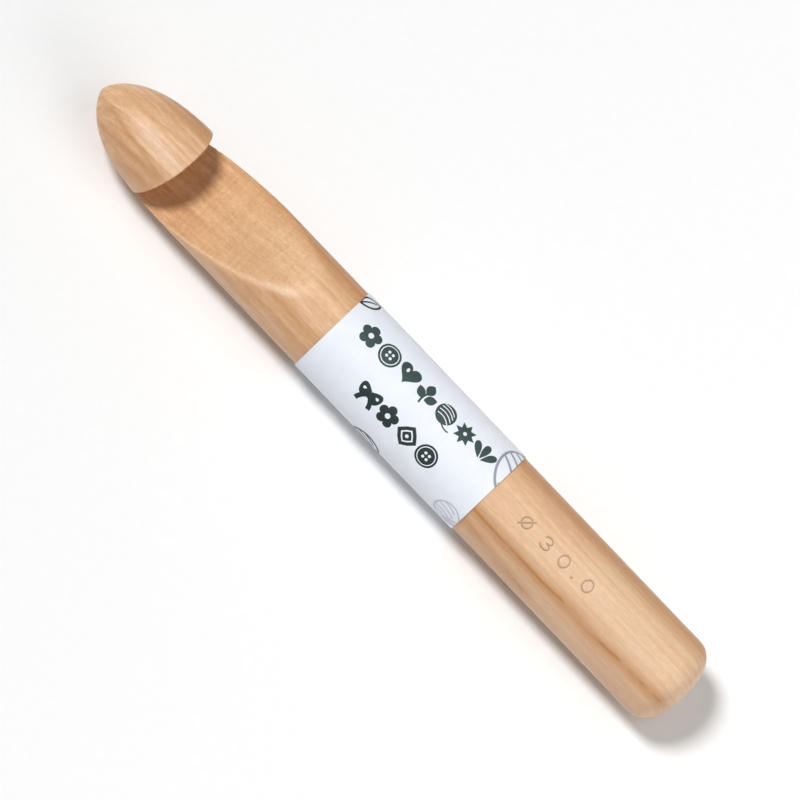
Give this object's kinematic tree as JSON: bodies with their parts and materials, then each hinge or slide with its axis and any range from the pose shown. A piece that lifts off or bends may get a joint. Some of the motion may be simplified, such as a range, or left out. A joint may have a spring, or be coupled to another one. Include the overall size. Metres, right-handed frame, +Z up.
{
  "type": "crochet hook",
  "caption": "Large round wooden crochet hook with a pointed head, an undercut throat, a plain round handle and a paper label band wrapped round the middle of the shaft.",
  "frame": {"origin": "on the surface that the hook lies on, under the middle of its length", "axes": "X along the hook, from its head at -X to its handle end at +X; +Z up, out of the open throat; Y across the hook"},
  "size_m": [0.25, 0.0306, 0.0306],
  "materials": {
    "wood": "sanded smooth, satin",
    "label_paper": "smooth white printed paper",
    "tape": "matt double-sided tape"
  },
  "bodies": {
    "hook": {"hook_body": "wood"},
    "label": {"label_band": "label_paper", "seam_tape": "tape"}
  },
  "joints": [
    {"name": "label_slide", "type": "slide", "parent": "hook", "child": "label", "axis": [1, 0, 0], "range_m": [-0.17, 0.155]}
  ]
}
